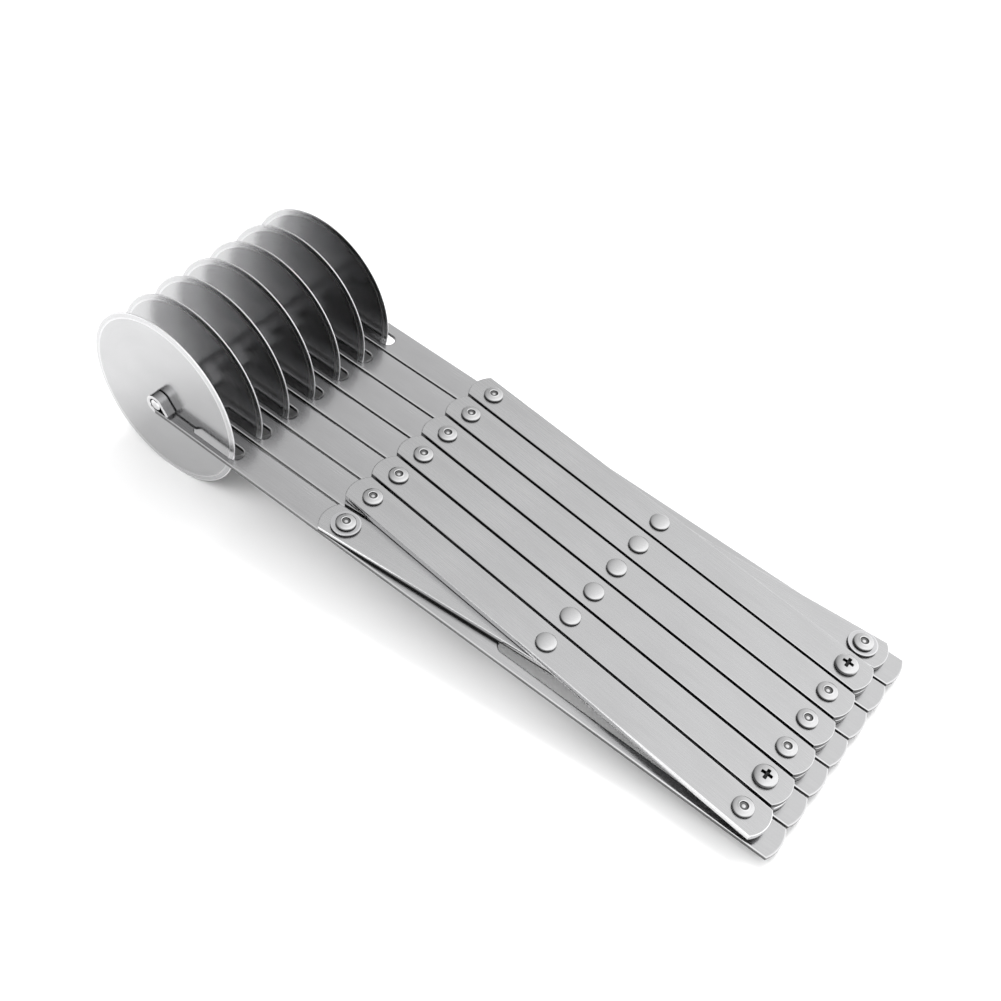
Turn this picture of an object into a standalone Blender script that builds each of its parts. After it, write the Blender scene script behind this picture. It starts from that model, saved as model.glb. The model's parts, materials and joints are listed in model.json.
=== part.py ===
"""Expanding pastry cutter: seven cutting wheels on a lazy-tongs frame of flat steel bars.

Each wheel turns in the fork of its own arm. Six top bars and six bottom bars cross in pairs
and are riveted to the arms at the front. At the rear their rivets slide in the arms' slots,
so the arms stay parallel while the frame widens.

The tool lies on its wheels and on the ends of its two rear screws. It is designed flat, in
frame coordinates: u runs rearwards along the arms from the front pivots, v across them, and
w up from the middle of the arms' thickness. The frame is then tilted to rest on the table.
"""
import math

import bmesh
import bpy
from mathutils import Matrix, Vector

MM = 0.001
GAP = 0.25 * MM

# Wheels
WHEEL_COUNT = 7
WHEEL_RADIUS = 27.5 * MM
WHEEL_THICKNESS = 0.7 * MM
RIM_LAND = 0.15 * MM
RIM_BEVEL = 1.6 * MM
COLLAR_RADIUS = 3.1 * MM
WHEEL_OFFSET = 1.5 * MM

# Arms
PITCH = 10.88 * MM
ARM_WIDTH = 10.2 * MM
ARM_THICKNESS = 1.2 * MM
AXLE_AHEAD = 67.0 * MM
FORK_FAR = 1.5 * MM
FORK_NEAR = -3.3 * MM
FORK_END_AHEAD = 37.6 * MM
PAD_EDGE = -2.1 * MM
PAD_END_AHEAD = 54.6 * MM
PAD_SLOPE = 1.0 * MM
SLOT_HALF_WIDTH = 2.15 * MM
SLOT_FRONT = 53.0 * MM
ARM_TAIL = 12.3 * MM
ARM_END_RADIUS = 10.5 * MM

# Rolled knuckles at the ends of the tines
KNUCKLE_RADIUS = 3.2 * MM
KNUCKLE_TURN = math.radians(229)
AXLE_RADIUS = 1.7 * MM

# Scissor bars
BAR_SPAN = 126.75 * MM
BAR_WIDTH = 10.0 * MM
BAR_THICKNESS = 1.8 * MM
BAR_TAIL = 7.3 * MM
BAR_END_RADIUS = 8.0 * MM

# Rivets, screws, nuts and washers
PIN_RADIUS = 1.5 * MM
HOLE_RADIUS = PIN_RADIUS + GAP
HEAD_RADIUS = 2.85 * MM
HEAD_HEIGHT = 1.0 * MM
TAIL_RADIUS = 2.9 * MM
TAIL_HEIGHT = 0.9 * MM
SCREW_HEAD_RADIUS = 3.25 * MM
SCREW_HEAD_HEIGHT = 1.5 * MM
SCREW_END = 0.5 * MM
NUT_HEIGHT = 2.4 * MM
NUT_RADIUS = 3.2 * MM
WASHER_RADIUS = 4.2 * MM
WASHER_THICKNESS = 0.6 * MM
SCREW_PLACES = (1, 5)

# Heights above the middle of the arms' thickness
ARM_TOP = ARM_THICKNESS / 2
BOTTOM_BAR_LOW = ARM_TOP + GAP
BOTTOM_BAR_TOP = BOTTOM_BAR_LOW + BAR_THICKNESS
TOP_BAR_LOW = BOTTOM_BAR_TOP + GAP
TOP_BAR_TOP = TOP_BAR_LOW + BAR_THICKNESS
AXLE_HEIGHT = KNUCKLE_RADIUS - ARM_THICKNESS / 2
NUT_LOW = -ARM_TOP - GAP - NUT_HEIGHT
SCREW_LOW = NUT_LOW - SCREW_END

# Plan of the closed frame
BAR_ANGLE = math.asin(PITCH / BAR_SPAN)
REAR_PIVOT = BAR_SPAN * math.cos(BAR_ANGLE)

# The tilt that puts both the wheels and the screw ends on the table
REACH = AXLE_AHEAD + REAR_PIVOT + PIN_RADIUS
RISE = AXLE_HEIGHT - SCREW_LOW
TILT = math.asin(WHEEL_RADIUS / math.hypot(REACH, RISE)) - math.atan2(RISE, REACH)

# How far a bar's plain rectangular stretches stay from its holes' centres
CLEAR_END = 8.0 * MM

# Fineness of the round shapes
WHEEL_SIDES = 40
PIN_SIDES = 12
ARC_STEPS = 8
KNUCKLE_STEPS = 14

STEEL = {
    "bar_steel": ((0.60, 0.60, 0.61, 1.0), 0.34),
    "arm_steel": ((0.56, 0.56, 0.57, 1.0), 0.34),
    "wheel_steel": ((0.62, 0.62, 0.63, 1.0), 0.22),
    "rivet_steel": ((0.64, 0.64, 0.65, 1.0), 0.28),
    "zinc_steel": ((0.58, 0.58, 0.60, 1.0), 0.38),
}


def clear_scene():
    for item in list(bpy.data.objects):
        bpy.data.objects.remove(item, do_unlink=True)


def make_material(name, colour, roughness):
    material = bpy.data.materials.new(name)
    material.use_nodes = True
    shader = material.node_tree.nodes["Principled BSDF"]
    shader.inputs["Base Color"].default_value = colour
    shader.inputs["Roughness"].default_value = roughness
    shader.inputs["Metallic"].default_value = 1.0
    material.diffuse_color = colour
    return material


def frame_matrix():
    """The tilted frame, set down so that the wheels and the screw ends touch the table."""
    turn = Matrix.Rotation(TILT, 4, "Y")
    axle = turn @ Vector((-AXLE_AHEAD, 0.0, AXLE_HEIGHT))
    front = axle.x - WHEEL_RADIUS
    rear = (turn @ Vector((REAR_PIVOT + ARM_TAIL, 0.0, ARM_TOP))).x
    centre = (front + rear) / 2
    return Matrix.Translation((-centre, 0.0, WHEEL_RADIUS - axle.z)) @ turn


def lane(index):
    """Distance across the frame of one arm's centre line."""
    return (index - (WHEEL_COUNT - 1) / 2) * PITCH


def to_mesh(bm, name):
    """Turn a bmesh into mesh data with its faces out, flat faces flat and round ones smooth."""
    bmesh.ops.recalc_face_normals(bm, faces=bm.faces)
    mesh = bpy.data.meshes.new(name)
    bm.to_mesh(mesh)
    bm.free()
    mesh.shade_smooth()
    mesh.set_sharp_from_angle(angle=math.radians(32))
    return mesh


def arc(centre, radius, start, end, steps):
    """Points along an arc, both ends included."""
    points = []
    for step in range(steps + 1):
        angle = start + (end - start) * step / steps
        points.append((centre[0] + radius * math.cos(angle), centre[1] + radius * math.sin(angle)))
    return points


def circle(centre, radius, sides):
    return arc(centre, radius, 0.0, 2 * math.pi, sides)[:-1]


def round_end(tip, half_width, radius, direction):
    """A shallow rounded bar end whose middle is at tip; direction is +1 rearwards, -1 forwards."""
    half = math.asin(half_width / radius)
    centre = (tip - direction * radius, 0.0)
    middle = 0.0 if direction > 0 else math.pi
    return arc(centre, radius, middle - half, middle + half, ARC_STEPS)


def stadium(start, end, radius):
    """A long slot along u, from one round end's centre to the other's."""
    rear = arc((end, 0.0), radius, -math.pi / 2, math.pi / 2, ARC_STEPS)
    front = arc((start, 0.0), radius, math.pi / 2, 3 * math.pi / 2, ARC_STEPS)
    return rear + front


def add_plate(bm, outline, holes, low, high):
    """Flat plate with holes. Returns the lower and upper rings of points of each loop."""
    rings = []
    for loop in [outline] + holes:
        lower = [bm.verts.new((u, v, low)) for u, v in loop]
        upper = [bm.verts.new((u, v, high)) for u, v in loop]
        rings.append((lower, upper))
    for side in (0, 1):
        edges = []
        for ring in rings:
            points = ring[side]
            for index, point in enumerate(points):
                edges.append(bm.edges.new((point, points[(index + 1) % len(points)])))
        bmesh.ops.triangle_fill(bm, use_beauty=True, use_dissolve=False, edges=edges)
    return rings


def add_walls(bm, rings, open_sides=()):
    """Side walls of a plate, except the outline sides that are left open."""
    for number, (lower, upper) in enumerate(rings):
        count = len(lower)
        for index in range(count):
            if number == 0 and index in open_sides:
                continue
            after = (index + 1) % count
            bm.faces.new((lower[index], lower[after], upper[after], upper[index]))


def clear_stretch(bm, start, end):
    """Make a plate's upper and lower faces one rectangle each between two places along it."""
    for place in (start, end):
        geometry = bm.verts[:] + bm.edges[:] + bm.faces[:]
        bmesh.ops.bisect_plane(bm, geom=geometry, plane_co=(place, 0.0, 0.0),
                               plane_no=(1.0, 0.0, 0.0), dist=0.001 * MM)
    bm.normal_update()
    for side in (1, -1):
        flat = []
        for face in bm.faces:
            if face.normal.z * side > 0.9 and start < face.calc_center_median().x < end:
                flat.append(face)
        bmesh.ops.dissolve_faces(bm, faces=flat)


def lathe(bm, profile, sides):
    """Solid of revolution about w. The profile goes round one closed loop of (radius, w) points,
    or starts and ends on the axis."""
    rings = []
    for radius, height in profile:
        if radius < 1e-9:
            rings.append([bm.verts.new((0.0, 0.0, height))])
            continue
        ring = []
        for side in range(sides):
            angle = 2 * math.pi * side / sides
            ring.append(bm.verts.new((radius * math.cos(angle), radius * math.sin(angle), height)))
        rings.append(ring)
    closed = len(rings[0]) > 1
    pairs = list(zip(rings, rings[1:]))
    if closed:
        pairs.append((rings[-1], rings[0]))
    for first, second in pairs:
        for side in range(sides):
            after = (side + 1) % sides
            if len(first) == 1:
                bm.faces.new((first[0], second[side], second[after]))
            elif len(second) == 1:
                bm.faces.new((first[side], first[after], second[0]))
            else:
                bm.faces.new((first[side], first[after], second[after], second[side]))


def knuckle_path():
    """Middle line of a rolled tine, as (u, w): under the axle, round it, and back down to the
    tine, where the strip's end stops just short of the plate."""
    radius = KNUCKLE_RADIUS - ARM_THICKNESS / 2
    centre = Vector((-AXLE_AHEAD, AXLE_HEIGHT))
    points = []
    for step in range(KNUCKLE_STEPS + 1):
        turn = KNUCKLE_TURN * step / KNUCKLE_STEPS
        points.append(centre + radius * Vector((-math.sin(turn), -math.cos(turn))))
    slope = Vector((-math.cos(KNUCKLE_TURN), math.sin(KNUCKLE_TURN)))
    lowest_corner = points[-1].y - ARM_THICKNESS / 2 * slope.x
    drop = (lowest_corner - ARM_TOP - GAP) / -slope.y
    points.append(points[-1] + slope * drop)
    return points


def path_normals(points):
    """Unit normals of a path in the (u, w) plane, turned a quarter from its direction."""
    normals = []
    for index in range(len(points)):
        before = points[max(index - 1, 0)]
        after = points[min(index + 1, len(points) - 1)]
        along = (after - before).normalized()
        normals.append(Vector((-along.y, along.x)))
    return normals


def arm_mesh():
    """Flat arm with a fork and rolled knuckles in front and a long slot behind. The near tine
    is a wide pad under its knuckle and a narrow neck behind it."""
    half = ARM_WIDTH / 2
    fork_radius = (FORK_FAR - FORK_NEAR) / 2
    fork_centre = (-FORK_END_AHEAD - fork_radius, (FORK_FAR + FORK_NEAR) / 2)
    outline = round_end(REAR_PIVOT + ARM_TAIL, half, ARM_END_RADIUS, 1)
    far_tine = len(outline)
    outline += [(-AXLE_AHEAD, half), (-AXLE_AHEAD, FORK_FAR)]
    outline += arc(fork_centre, fork_radius, math.pi / 2, -math.pi / 2, ARC_STEPS)
    outline += [(PAD_SLOPE - PAD_END_AHEAD, FORK_NEAR), (-PAD_END_AHEAD, PAD_EDGE)]
    near_tine = len(outline)
    outline += [(-AXLE_AHEAD, PAD_EDGE), (-AXLE_AHEAD, -half)]
    slot_rear = REAR_PIVOT + GAP
    holes = [
        circle((0.0, 0.0), HOLE_RADIUS, PIN_SIDES),
        stadium(SLOT_FRONT + SLOT_HALF_WIDTH, slot_rear, SLOT_HALF_WIDTH),
    ]
    bm = bmesh.new()
    rings = add_plate(bm, outline, holes, -ARM_TOP, ARM_TOP)
    add_walls(bm, rings, open_sides=(far_tine, near_tine))
    lower, upper = rings[0]
    path = knuckle_path()
    normals = path_normals(path)
    for corner in (far_tine, near_tine):
        previous = (lower[corner], lower[corner + 1], upper[corner + 1], upper[corner])
        outer_v = outline[corner][1]
        inner_v = outline[corner + 1][1]
        for point, normal in zip(path[1:], normals[1:]):
            outside = point + normal * ARM_THICKNESS / 2
            inside = point - normal * ARM_THICKNESS / 2
            current = (
                bm.verts.new((outside.x, outer_v, outside.y)),
                bm.verts.new((outside.x, inner_v, outside.y)),
                bm.verts.new((inside.x, inner_v, inside.y)),
                bm.verts.new((inside.x, outer_v, inside.y)),
            )
            for side in range(4):
                after = (side + 1) % 4
                bm.faces.new((previous[side], previous[after], current[after], current[side]))
            previous = current
        bm.faces.new(previous)
    clear_stretch(bm, CLEAR_END, SLOT_FRONT - CLEAR_END)
    return to_mesh(bm, "arm")


def bar_mesh():
    """Straight scissor bar from its front pivot to its rear pivot, with a middle pivot."""
    half = BAR_WIDTH / 2
    outline = round_end(BAR_SPAN + BAR_TAIL, half, BAR_END_RADIUS, 1)
    outline += round_end(-BAR_TAIL, half, BAR_END_RADIUS, -1)
    holes = []
    for place in (0.0, BAR_SPAN / 2, BAR_SPAN):
        holes.append(circle((place, 0.0), HOLE_RADIUS, PIN_SIDES))
    bm = bmesh.new()
    rings = add_plate(bm, outline, holes, 0.0, BAR_THICKNESS)
    add_walls(bm, rings)
    return to_mesh(bm, "bar")


def wheel_mesh():
    """Disc with a bevelled rim and a drawn collar on its far side. The axis is w here."""
    half = WHEEL_THICKNESS / 2
    land = RIM_LAND / 2
    bore = AXLE_RADIUS + GAP
    collar_end = WHEEL_OFFSET + FORK_FAR - GAP
    profile = [
        (bore, -half),
        (WHEEL_RADIUS - RIM_BEVEL, -half),
        (WHEEL_RADIUS, -land),
        (WHEEL_RADIUS, land),
        (WHEEL_RADIUS - RIM_BEVEL, half),
        (COLLAR_RADIUS, half),
        (COLLAR_RADIUS, collar_end),
        (bore, collar_end),
    ]
    bm = bmesh.new()
    lathe(bm, profile, WHEEL_SIDES)
    return to_mesh(bm, "wheel")


def axle_mesh():
    """Plain pin as long as the fork is wide, with chamfered ends. The axis is w here."""
    half = ARM_WIDTH / 2
    chamfer = 0.3 * MM
    profile = [
        (0.0, -half),
        (AXLE_RADIUS - chamfer, -half),
        (AXLE_RADIUS, -half + chamfer),
        (AXLE_RADIUS, half - chamfer),
        (AXLE_RADIUS - chamfer, half),
        (0.0, half),
    ]
    bm = bmesh.new()
    lathe(bm, profile, PIN_SIDES)
    return to_mesh(bm, "axle")


def rivet_mesh(name, seat, tail):
    """Rivet with a hollow-centred round head on the seat and an upset tail under the arm."""
    dip = 0.35 * MM
    profile = [
        (0.0, seat + HEAD_HEIGHT - dip),
        (0.40 * HEAD_RADIUS, seat + HEAD_HEIGHT - dip),
        (0.46 * HEAD_RADIUS, seat + HEAD_HEIGHT),
        (0.72 * HEAD_RADIUS, seat + 0.86 * HEAD_HEIGHT),
        (HEAD_RADIUS, seat + 0.2 * HEAD_HEIGHT),
        (HEAD_RADIUS, seat),
        (PIN_RADIUS, seat),
        (PIN_RADIUS, tail),
        (TAIL_RADIUS, tail),
        (0.75 * TAIL_RADIUS, tail - TAIL_HEIGHT),
        (0.0, tail - TAIL_HEIGHT),
    ]
    bm = bmesh.new()
    lathe(bm, profile, PIN_SIDES)
    return to_mesh(bm, name)


def middle_rivet_mesh():
    """Plain domed rivet, with its tail flush in the bottom bar so that the arms pass under it."""
    seat = TOP_BAR_TOP + GAP
    profile = [
        (0.0, seat + HEAD_HEIGHT),
        (0.45 * HEAD_RADIUS, seat + 0.9 * HEAD_HEIGHT),
        (0.8 * HEAD_RADIUS, seat + 0.6 * HEAD_HEIGHT),
        (HEAD_RADIUS, seat + 0.15 * HEAD_HEIGHT),
        (HEAD_RADIUS, seat),
        (PIN_RADIUS, seat),
        (PIN_RADIUS, BOTTOM_BAR_LOW),
        (0.0, BOTTOM_BAR_LOW),
    ]
    bm = bmesh.new()
    lathe(bm, profile, PIN_SIDES)
    return to_mesh(bm, "middle_rivet")


def screw_mesh():
    """Cross-head screw: domed head on the top bar, shank through the slot, end below the nut."""
    seat = TOP_BAR_TOP + GAP
    bm = bmesh.new()
    profile = [
        (0.0, seat + SCREW_HEAD_HEIGHT),
        (0.5 * SCREW_HEAD_RADIUS, seat + 0.94 * SCREW_HEAD_HEIGHT),
        (0.85 * SCREW_HEAD_RADIUS, seat + 0.66 * SCREW_HEAD_HEIGHT),
        (SCREW_HEAD_RADIUS, seat + 0.25 * SCREW_HEAD_HEIGHT),
        (SCREW_HEAD_RADIUS, seat),
        (PIN_RADIUS, seat),
        (PIN_RADIUS, SCREW_LOW),
        (0.0, SCREW_LOW),
    ]
    lathe(bm, profile, PIN_SIDES)
    return to_mesh(bm, "screw")


def cross_cutter():
    """The cross recess of a screw head, as a solid to be cut from it."""
    long_half = 0.55 * SCREW_HEAD_RADIUS
    short_half = 0.13 * SCREW_HEAD_RADIUS
    outline = [
        (long_half, -short_half), (long_half, short_half), (short_half, short_half),
        (short_half, long_half), (-short_half, long_half), (-short_half, short_half),
        (-long_half, short_half), (-long_half, -short_half), (-short_half, -short_half),
        (-short_half, -long_half), (short_half, -long_half), (short_half, -short_half),
    ]
    seat = TOP_BAR_TOP + GAP
    bm = bmesh.new()
    rings = add_plate(bm, outline, [], seat + 0.5 * SCREW_HEAD_HEIGHT, seat + 2 * SCREW_HEAD_HEIGHT)
    add_walls(bm, rings)
    cutter = bpy.data.objects.new("cross_cutter", to_mesh(bm, "cross_cutter"))
    bpy.context.scene.collection.objects.link(cutter)
    cutter.hide_render = True
    cutter.display_type = "WIRE"
    return cutter


def ring_mesh(name, outer, inner, low, high, sides):
    """Washer, spacer or nut: a ring with flat faces, round or six-sided outside."""
    bm = bmesh.new()
    rings = add_plate(bm, circle((0.0, 0.0), outer, sides),
                      [circle((0.0, 0.0), inner, PIN_SIDES)], low, high)
    add_walls(bm, rings)
    return to_mesh(bm, name)


class Builder:
    """Places each piece in the tilted frame, by its pivot's place and its turn about w."""

    def __init__(self):
        self.frame = frame_matrix()
        self.materials = {}
        for name, (colour, roughness) in STEEL.items():
            self.materials[name] = make_material(name, colour, roughness)

    def place(self, name, mesh, material, u, v, w=0.0, turn=None):
        item = bpy.data.objects.new(name, mesh)
        bpy.context.scene.collection.objects.link(item)
        if not mesh.materials:
            mesh.materials.append(self.materials[material])
        local = Matrix.Translation((u, v, w))
        if turn is not None:
            local = local @ turn
        item.matrix_world = self.frame @ local
        return item


def add_arms_and_wheels(builder):
    arm = arm_mesh()
    wheel = wheel_mesh()
    axle = axle_mesh()
    lay_down = Matrix.Rotation(-math.pi / 2, 4, "X")
    upright = Matrix.Rotation(-TILT, 4, "Y") @ lay_down
    for index in range(WHEEL_COUNT):
        number = index + 1
        v = lane(index)
        builder.place(f"arm_{number}", arm, "arm_steel", 0.0, v)
        builder.place(f"axle_{number}", axle, "rivet_steel", -AXLE_AHEAD, v, AXLE_HEIGHT, lay_down)
        builder.place(f"wheel_{number}", wheel, "wheel_steel",
                      -AXLE_AHEAD, v - WHEEL_OFFSET, AXLE_HEIGHT, upright)


def add_bars(builder):
    bar = bar_mesh()
    for index in range(1, WHEEL_COUNT):
        top_turn = Matrix.Rotation(-BAR_ANGLE, 4, "Z")
        bottom_turn = Matrix.Rotation(BAR_ANGLE, 4, "Z")
        builder.place(f"top_bar_{index}", bar, "bar_steel",
                      0.0, lane(index), TOP_BAR_LOW, top_turn)
        builder.place(f"bottom_bar_{index}", bar, "bar_steel",
                      0.0, lane(index - 1), BOTTOM_BAR_LOW, bottom_turn)


def add_front_pivots(builder):
    seat = TOP_BAR_TOP + GAP
    washer_low = BOTTOM_BAR_TOP + GAP
    low_seat = washer_low + WASHER_THICKNESS + GAP
    tail = -ARM_TOP - GAP
    rivet = rivet_mesh("rivet", seat, tail)
    short_rivet = rivet_mesh("short_rivet", low_seat, tail)
    washer = ring_mesh("washer", WASHER_RADIUS, HOLE_RADIUS,
                       washer_low, washer_low + WASHER_THICKNESS, 2 * PIN_SIDES)
    spacer = ring_mesh("spacer", HEAD_RADIUS, HOLE_RADIUS,
                       BOTTOM_BAR_LOW, BOTTOM_BAR_TOP, PIN_SIDES)
    last = WHEEL_COUNT - 1
    builder.place("front_rivet_1", short_rivet, "rivet_steel", 0.0, lane(0))
    for index in range(1, WHEEL_COUNT):
        builder.place(f"front_rivet_{index + 1}", rivet, "rivet_steel", 0.0, lane(index))
    builder.place("front_washer_1", washer, "zinc_steel", 0.0, lane(0))
    builder.place("front_spacer_7", spacer, "zinc_steel", 0.0, lane(last))
    for index in range(last):
        if index in SCREW_PLACES:
            continue
        builder.place(f"rear_rivet_{index + 1}", rivet, "rivet_steel", REAR_PIVOT, lane(index))
    builder.place("rear_rivet_7", short_rivet, "rivet_steel", REAR_PIVOT, lane(last))
    builder.place("rear_washer_7", washer, "zinc_steel", REAR_PIVOT, lane(last))
    builder.place("rear_spacer_1", spacer, "zinc_steel", REAR_PIVOT, lane(0))


def add_middle_rivets(builder):
    rivet = middle_rivet_mesh()
    for index in range(1, WHEEL_COUNT):
        builder.place(f"middle_rivet_{index}", rivet, "rivet_steel",
                      REAR_PIVOT / 2, lane(index) - PITCH / 2)


def add_screws(builder):
    screw = screw_mesh()
    nut = ring_mesh("nut", NUT_RADIUS, HOLE_RADIUS, NUT_LOW, NUT_LOW + NUT_HEIGHT, 6)
    cutter = cross_cutter()
    for index in SCREW_PLACES:
        number = index + 1
        item = builder.place(f"rear_screw_{number}", screw.copy(), "rivet_steel",
                             REAR_PIVOT, lane(index))
        recess = cutter.copy()
        bpy.context.scene.collection.objects.link(recess)
        recess.matrix_world = item.matrix_world
        cut = item.modifiers.new("cross_recess", "BOOLEAN")
        cut.operation = "DIFFERENCE"
        cut.solver = "EXACT"
        cut.object = recess
        builder.place(f"rear_nut_{number}", nut, "zinc_steel", REAR_PIVOT, lane(index))
    bpy.data.objects.remove(cutter, do_unlink=True)


def main():
    clear_scene()
    builder = Builder()
    add_arms_and_wheels(builder)
    add_bars(builder)
    add_front_pivots(builder)
    add_middle_rivets(builder)
    add_screws(builder)


main()
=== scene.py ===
"""Looks of the expanding pastry cutter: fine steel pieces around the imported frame."""
import json
import math

import bmesh
import bpy
from mathutils import Matrix, Vector


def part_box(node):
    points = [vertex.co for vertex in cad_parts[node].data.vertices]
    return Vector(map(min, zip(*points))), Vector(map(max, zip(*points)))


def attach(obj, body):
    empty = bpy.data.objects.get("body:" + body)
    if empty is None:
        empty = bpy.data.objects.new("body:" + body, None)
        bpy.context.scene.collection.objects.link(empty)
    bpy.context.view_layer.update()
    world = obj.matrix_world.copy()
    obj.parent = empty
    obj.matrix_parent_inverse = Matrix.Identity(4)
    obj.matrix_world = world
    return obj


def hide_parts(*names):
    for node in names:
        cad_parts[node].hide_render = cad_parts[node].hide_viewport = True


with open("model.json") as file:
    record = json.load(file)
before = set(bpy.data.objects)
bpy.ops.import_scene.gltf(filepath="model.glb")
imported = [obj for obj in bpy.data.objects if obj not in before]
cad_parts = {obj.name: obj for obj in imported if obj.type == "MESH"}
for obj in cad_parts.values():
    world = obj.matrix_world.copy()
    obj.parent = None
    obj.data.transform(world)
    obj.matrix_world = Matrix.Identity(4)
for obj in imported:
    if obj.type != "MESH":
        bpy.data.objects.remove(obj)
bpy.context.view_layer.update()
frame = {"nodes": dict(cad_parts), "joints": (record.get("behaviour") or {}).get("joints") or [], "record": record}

MM = 0.001
GAP = 0.25 * MM

# Camera, in the frame's own axes: u rearwards, v across, w up
CAMERA_PLACE = (137.3, -211.5, 287.0)
CAMERA_AIM = (27.2, -3.0, 3.7)
CAMERA_ROLL = math.radians(4.52)
CAMERA_LENS = 48.29
CAMERA_SHIFT = (0.0081, 0.0152)

# Arms
ARM_WIDTH = 10.2 * MM
FORK_FAR = 1.5 * MM
FORK_NEAR = -3.3 * MM
FORK_END_AHEAD = 37.6 * MM
PAD_EDGE = -2.1 * MM
PAD_END_AHEAD = 54.6 * MM
PAD_SLOPE = 1.0 * MM
SLOT_HALF_WIDTH = 2.15 * MM
SLOT_FRONT = 53.0 * MM
ARM_TAIL = 12.3 * MM
ARM_END_RADIUS = 10.5 * MM
KNUCKLE_TURN = math.radians(229)

# Scissor bars
BAR_WIDTH = 10.0 * MM
BAR_TAIL = 7.3 * MM
BAR_END_RADIUS = 8.0 * MM

# Wheels and axles
WHEEL_OFFSET = 1.5 * MM
WHEEL_THICKNESS = 0.7 * MM
RIM_BEVEL = 1.6 * MM
RIM_LAND = 0.3 * MM
RIM_LINE = 0.32 * MM
COLLAR_RADIUS = 3.1 * MM
AXLE_RADIUS = 1.7 * MM

# Rivets, screws, nuts and washers
PIN_RADIUS = 1.5 * MM
HOLE_RADIUS = PIN_RADIUS + GAP
HEAD_RADIUS = 2.85 * MM
HEAD_RIM = 0.3 * MM
MIDDLE_HEAD_RIM = 0.25 * MM
HOLLOW_RADIUS = 0.42 * HEAD_RADIUS
HOLLOW_DEPTH = 0.5 * MM
TAIL_RADIUS = 2.9 * MM
TAIL_HEIGHT = 0.9 * MM
SCREW_HEAD_RADIUS = 3.25 * MM
SCREW_HEAD_HEIGHT = 1.5 * MM
SCREW_HEAD_RIM = 0.45 * MM
RECESS_DEPTH = 1.15 * MM
NUT_RADIUS = 3.2 * MM
NUT_CHAMFER = math.radians(30)
WASHER_RADIUS = 4.2 * MM
THREAD_PITCH = 0.5 * MM
THREAD_DEPTH = 0.28 * MM

# Rounding of the strips' edges: how far it reaches over the face, and how far it drops
ARM_EDGE = (0.45 * MM, 0.25 * MM)
BAR_EDGE = (0.25 * MM, 0.18 * MM)
UNDER_EDGE = (0.15 * MM, 0.15 * MM)
FLAT_MARGIN = 0.10 * MM

# Painted light and wear, kept on each vertex: above 0 the steel is lighter, on edges rubbed bright and under
# painted highlights; below 0 it is darker with painted shade
BRIGHT = 1.0
PAINTED_SHADE = -1.0
# painted shade inside the screws' cross recess
RECESS_PAINTED_SHADE = -1.3
# painted highlight over the rolled knuckles
KNUCKLE_HIGHLIGHT = 1.2
# painted highlight on the rim bevel of the wheels, partly a rougher ground finish
BEVEL_LINE_HIGHLIGHT = 0.4
GROUND_BEVEL_HIGHLIGHT = 0.15

# Painted tone at the foot and at the head of a bar's side wall. Only the outermost walls are in the open: walls
# that face other parts get painted shade, the outermost walls a painted highlight, and the outermost bottom wall
# painted shade at its foot.
SHADED_WALL = (PAINTED_SHADE, PAINTED_SHADE)
HIGHLIT_TOP_WALL = (3.0, 3.0)
HIGHLIT_BOTTOM_WALL = (-3.0, 3.0)

# What painted light and wear do to the steel's tone, which never gets darker than DARKEST
WEAR_AND_HIGHLIGHT_GAIN = 0.2
WORN_ROUGHNESS = -0.04
PAINTED_SHADE_LOSS = 0.72
DARKEST = 0.02

# Grain of the steels, in waves per metre along, across and through, and its depths
STRAIGHT_GRAIN = (90.0, 6500.0, 2600.0)
TURNED_GRAIN = 5200.0
TURNED_STRETCH = 1.2
PATCHES = (55.0, 130.0, 130.0)
STRIP_GRAIN_DEPTH = 0.003 * MM
PLATED_GRAIN_DEPTH = 0.002 * MM
TURNED_GRAIN_DEPTH = 0.0015 * MM
NOISE_SPREAD = (0.3, 0.7)

# Studio: the world's strength rises rearwards, and the near side is dim low down
WORLD_FRONT = (-0.9, 0.35)
WORLD_REAR = (0.45, 1.65)
DIM_HEIGHTS = (0.12, 0.62)
DIM_ACROSS = (-0.35, 0.05)
DIM_STRENGTH = 0.12
FLOOR_HALF_SIZE = 3.0
FLOOR_WHITE = 0.92
FLOOR_ROUGHNESS = 0.35

# Fineness of the round shapes
WHEEL_SIDES = 192
ROUND_SIDES = 64
ARC_STEPS = 28
EDGE_STEPS = 5
KNUCKLE_STEPS = 44
DOME_STEPS = 16
SCREW_DOME_STEPS = 18
THREAD_SIDES = ROUND_SIDES // 2
THREAD_ROWS = 6
NUT_SIDES = 72
SHARP_ANGLE = 38

nodes = frame["nodes"]
record = frame["record"]
joints = {joint["name"]: joint for joint in frame["joints"]}
body_of = {node: body for body, group in record["behaviour"]["bodies"].items() for node in group}
slot_of = {part["node"]: part["material_slot"] for part in record["subparts"]}


# ---------------------------------------------------------------- the frame's own axes

def frame_matrix():
    """Axes of the flat frame, with the origin at the front pivot of the middle arm."""
    spread = joints["frame_spread"]
    up = Vector(spread["axis"]).normalized()
    across = Vector((0.0, 1.0, 0.0))
    rearwards = across.cross(up)
    turn = Matrix((rearwards, across, up)).transposed().to_4x4()
    return Matrix.Translation(spread["pos_m"]) @ turn


FRAME = frame_matrix()
TO_FRAME = FRAME.inverted()


def local_box(node):
    """Lowest and highest corner of a CAD node along the frame's own axes."""
    corners = [TO_FRAME @ vertex.co for vertex in nodes[node].data.vertices]
    low = Vector([min(corner[k] for corner in corners) for k in range(3)])
    high = Vector([max(corner[k] for corner in corners) for k in range(3)])
    return low, high


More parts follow.
